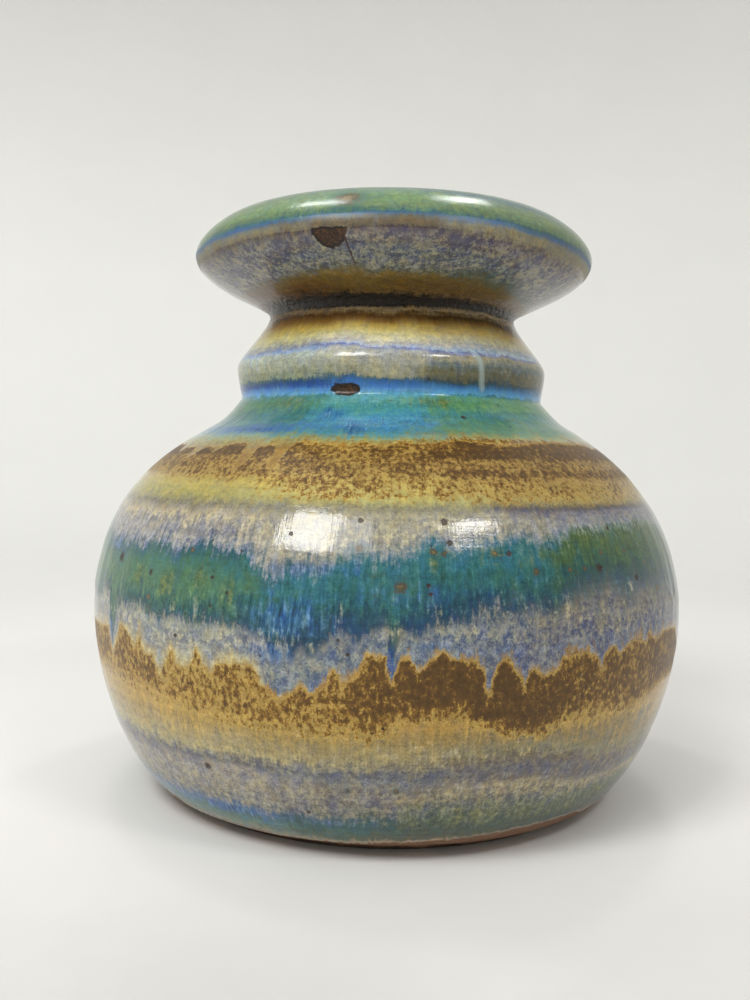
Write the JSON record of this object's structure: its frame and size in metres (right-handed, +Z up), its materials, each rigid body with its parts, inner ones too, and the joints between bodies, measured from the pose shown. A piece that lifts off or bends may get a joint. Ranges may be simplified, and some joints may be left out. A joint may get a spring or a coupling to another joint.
{
  "type": "stoneware vase",
  "caption": "Round-bellied stoneware vase with a rolled collar, narrow neck and turned-in cup mouth, under banded flowing glazes.",
  "frame": {"origin": "middle of the foot ring's resting face, on the table", "axes": "+Z up along the vase's axis of revolution; the side with the small rim crater and the long glaze runs faces -Y, and +X is to its right"},
  "size_m": [0.15, 0.15, 0.1446],
  "materials": {
    "bare_clay": "unglazed fired stoneware",
    "teal_glaze": "gloss",
    "lavender_glaze": "gloss",
    "iron_glaze": "gloss",
    "cream_glaze": "gloss",
    "rim_glaze": "gloss",
    "inner_glaze": "gloss"
  },
  "bodies": {
    "root": {"foot_ring": "bare_clay", "belly_wall": "bare_clay", "collar_ring": "bare_clay", "mouth_flange": "bare_clay", "foot_teal_glaze": "teal_glaze", "lower_lavender_glaze": "lavender_glaze", "belly_iron_glaze": "iron_glaze", "belly_teal_glaze": "teal_glaze", "belly_lavender_glaze": "lavender_glaze", "shoulder_iron_glaze": "iron_glaze", "shoulder_teal_glaze": "teal_glaze", "collar_cream_glaze": "cream_glaze", "neck_iron_glaze": "iron_glaze", "flange_lavender_glaze": "lavender_glaze", "rim_green_glaze": "rim_glaze", "mouth_inner_glaze": "inner_glaze", "liner_glaze": "inner_glaze"}
  },
  "joints": []
}
